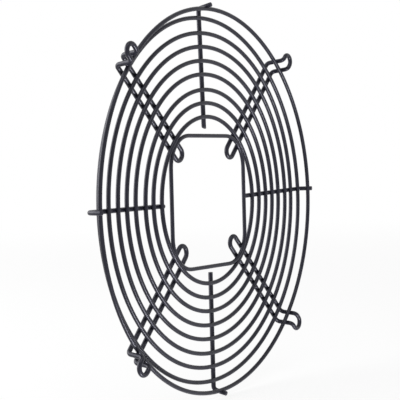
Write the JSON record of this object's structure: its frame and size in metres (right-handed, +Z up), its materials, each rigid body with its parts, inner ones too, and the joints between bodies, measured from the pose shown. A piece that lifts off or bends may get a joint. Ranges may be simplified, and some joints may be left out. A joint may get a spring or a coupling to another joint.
{
  "type": "fan guard",
  "caption": "Round guard of black coated wire rings on straight spokes and looped arms, with a rounded square frame for the motor and looped feet for panel screws.",
  "frame": {"origin": "on the fan's axis, in the plane of the panel that the feet are screwed to", "axes": "+Z up, +Y along the fan's axis from the guard's face to the panel, so the face looks towards -Y"},
  "size_m": [0.292, 0.0175, 0.292],
  "materials": {
    "coated_wire": "semi-gloss black coating"
  },
  "bodies": {
    "root": {"rim_ring": "coated_wire", "ring_2": "coated_wire", "ring_3": "coated_wire", "ring_4": "coated_wire", "ring_5": "coated_wire", "ring_6": "coated_wire", "ring_7": "coated_wire", "ring_8": "coated_wire", "ring_9": "coated_wire", "motor_frame": "coated_wire", "spoke_top": "coated_wire", "spoke_right": "coated_wire", "spoke_bottom": "coated_wire", "spoke_left": "coated_wire", "arm_upper_left": "coated_wire", "arm_upper_right": "coated_wire", "arm_lower_right": "coated_wire", "arm_lower_left": "coated_wire"}
  },
  "joints": []
}
